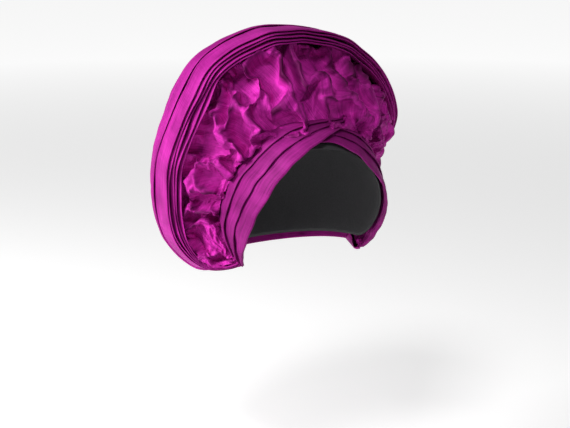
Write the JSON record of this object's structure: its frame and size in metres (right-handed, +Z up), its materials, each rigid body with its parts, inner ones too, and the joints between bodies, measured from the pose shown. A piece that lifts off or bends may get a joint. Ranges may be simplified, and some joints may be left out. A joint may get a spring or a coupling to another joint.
{
  "type": "tied gele head tie",
  "caption": "Tall fan-shaped head tie: pleated brow bands crossed over a stretch cap, a gathered puff halo framed by folded pleats, and a plain back cover.",
  "frame": {"origin": "crown of the head, where the stretch cap rests on it", "axes": "+Z up, the wearer faces -Y, and the wearer's right side is -X"},
  "size_m": [0.2671, 0.2059, 0.2485],
  "materials": {
    "puff_cloth": "slubbed woven cloth with a soft sheen, magenta purple",
    "pleat_cloth": "slubbed woven cloth with a soft sheen, magenta purple",
    "cap_knit": "matt black stretch knit"
  },
  "bodies": {
    "root": {"inner_cap": "cap_knit", "band_left": "pleat_cloth", "band_right": "pleat_cloth", "ruffle_panel": "puff_cloth", "rim_pleat_1": "pleat_cloth", "rim_pleat_2": "pleat_cloth", "rim_pleat_3": "pleat_cloth", "rim_pleat_4": "pleat_cloth", "rim_pleat_5": "pleat_cloth", "crown_back": "pleat_cloth"}
  },
  "joints": []
}
